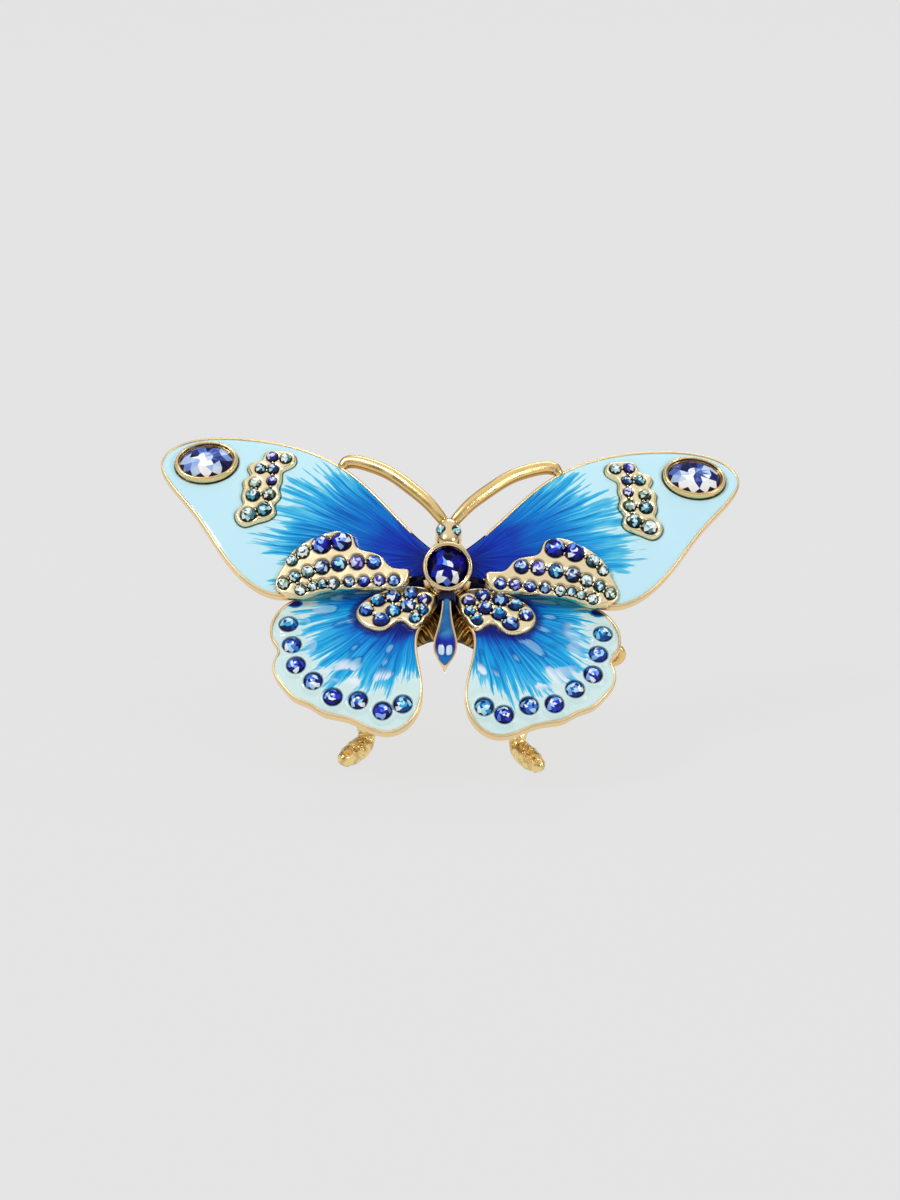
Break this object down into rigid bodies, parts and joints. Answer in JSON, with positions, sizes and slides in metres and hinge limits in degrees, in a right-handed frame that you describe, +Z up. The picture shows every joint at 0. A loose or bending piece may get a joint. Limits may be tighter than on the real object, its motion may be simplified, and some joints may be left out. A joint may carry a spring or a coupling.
{
  "type": "butterfly ornament",
  "caption": "Free-standing gilt metal butterfly ornament with bowed enamelled wings, crystal stones and ribbed feet.",
  "frame": {"origin": "centre of the ornament's box on the floor that its soles stand on", "axes": "+Z up, +X across the wings to the viewer's right, +Y away from the viewer who faces the wings"},
  "size_m": [0.08, 0.035, 0.0391],
  "materials": {
    "gold_casting": "polished gold plate with darkened recesses",
    "gold_setting": "bright polished pale gold plate",
    "forewing_enamel": "glossy brushed enamel, navy at the root to pale aqua",
    "hindwing_enamel": "glossy translucent enamel, navy to cyan to pale mint",
    "body_enamel": "glossy teal-blue enamel",
    "deep_blue_crystal": "faceted, foil backed",
    "blue_crystal": "faceted, foil backed",
    "light_blue_crystal": "faceted, foil backed",
    "aqua_crystal": "faceted, foil backed"
  },
  "bodies": {
    "root": {"thorax": "gold_casting", "head": "gold_casting", "abdomen": "gold_casting", "bridge_plate": "gold_casting", "centre_cup": "gold_setting", "collar": "body_enamel", "abdomen_enamel": "body_enamel", "centre_stone": "deep_blue_crystal", "eye_stones": "aqua_crystal", "forewing_right": "gold_casting", "forewing_left": "gold_casting", "hindwing_right": "gold_casting", "hindwing_left": "gold_casting", "antenna_right": "gold_casting", "antenna_left": "gold_casting", "front_leg_right": "gold_casting", "front_leg_left": "gold_casting", "middle_leg_right": "gold_casting", "middle_leg_left": "gold_casting", "rear_leg_right": "gold_casting", "rear_leg_left": "gold_casting", "tip_bezel_right": "gold_setting", "tip_bezel_left": "gold_setting", "band_bed_right": "gold_setting", "band_bed_left": "gold_setting", "patch_bed_right": "gold_setting", "patch_bed_left": "gold_setting", "root_bed_right": "gold_setting", "root_bed_left": "gold_setting", "forewing_enamel_right": "forewing_enamel", "forewing_enamel_left": "forewing_enamel", "hindwing_enamel_right": "hindwing_enamel", "hindwing_enamel_left": "hindwing_enamel", "tip_stone_right": "light_blue_crystal", "tip_stone_left": "light_blue_crystal", "band_stones_right": "light_blue_crystal", "band_stones_left": "light_blue_crystal", "patch_stones_upper_right": "deep_blue_crystal", "patch_stones_upper_left": "deep_blue_crystal", "patch_stones_middle_right": "blue_crystal", "patch_stones_middle_left": "blue_crystal", "patch_stones_lower_right": "light_blue_crystal", "patch_stones_lower_left": "light_blue_crystal", "root_stones_right": "blue_crystal", "root_stones_left": "blue_crystal", "margin_stones_right": "blue_crystal", "margin_stones_left": "blue_crystal"}
  },
  "joints": []
}
